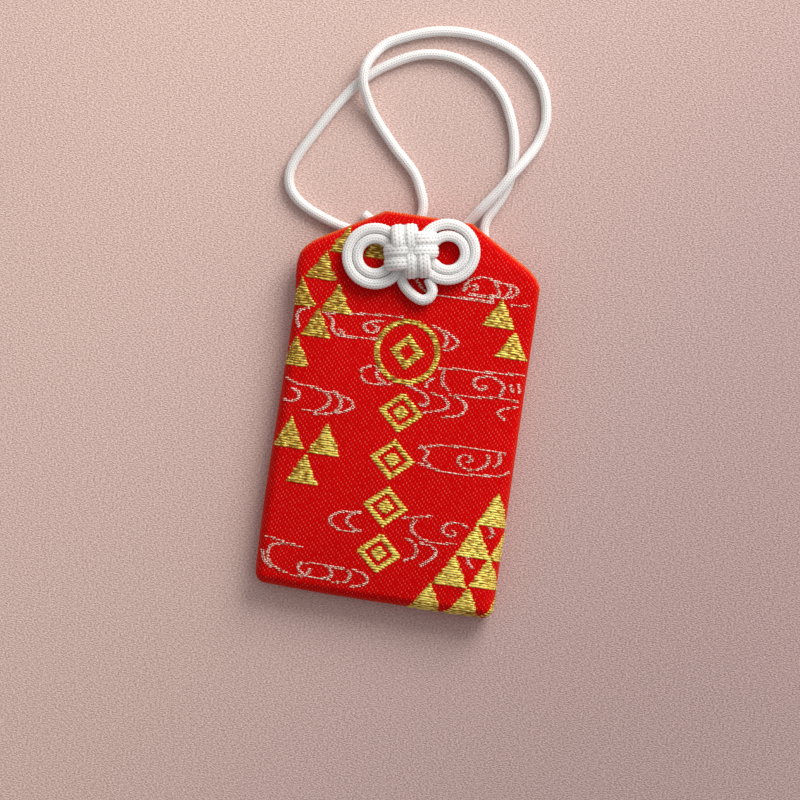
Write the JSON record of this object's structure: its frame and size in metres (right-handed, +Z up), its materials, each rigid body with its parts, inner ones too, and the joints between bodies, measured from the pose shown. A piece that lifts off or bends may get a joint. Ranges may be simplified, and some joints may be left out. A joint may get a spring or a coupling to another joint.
{
  "type": "brocade pouch charm with knotted cord",
  "caption": "Flat padded fabric pouch with chamfered shoulders that holds a wrapped slip, closed near its mouth by a four-fold braided cord knot with double rings and a hanging loop",
  "frame": {"origin": "under the middle of the pouch, on the surface that it lies on", "axes": "X across the pouch to the right as seen from the front, +Y along the pouch from its bottom to its mouth and the hanging loop, +Z up out of the pouch's front"},
  "size_m": [0.0522, 0.1117, 0.012],
  "materials": {
    "brocade": "woven, slightly silky, with raised metallic weft floats",
    "felt": "matt felted interlining",
    "sewing_thread": "twisted sewing thread",
    "card": "plain grey-brown card",
    "paper": "soft uncoated paper",
    "cedar": "planed thin wood",
    "braid": "fine herringbone braid, soft sheen"
  },
  "bodies": {
    "pouch": {"front_panel": "brocade", "back_panel": "brocade", "front_interlining": "felt", "back_interlining": "felt", "seam_thread": "sewing_thread", "stiffener_card": "card", "rear_strand_centre": "braid", "rear_strand_left": "braid", "loop_bight": "braid", "cord_tail_left": "braid", "cord_tail_lower": "braid"},
    "knot": {"knot_crown": "braid", "left_double_ring": "braid", "right_double_ring": "braid", "bottom_loop": "braid"},
    "loop": {"loop_outer_arc": "braid", "loop_inner_arc": "braid"},
    "talisman": {"paper_wrapper": "paper", "talisman_slip": "cedar"}
  },
  "joints": [
    {"name": "knot_swivel", "type": "hinge", "parent": "pouch", "child": "knot", "pos_m": [-0.0025, 0.0301, 0.006], "axis": [0, 0, 1], "range_deg": [-25, 8]},
    {"name": "loop_lift", "type": "hinge", "parent": "pouch", "child": "loop", "pos_m": [0, 0.0388, 0.0032], "axis": [1, 0, 0], "range_deg": [0, 90]},
    {"name": "talisman_slide", "type": "slide", "parent": "pouch", "child": "talisman", "axis": [0, 1, 0], "range_m": [0, 0.0035]}
  ]
}
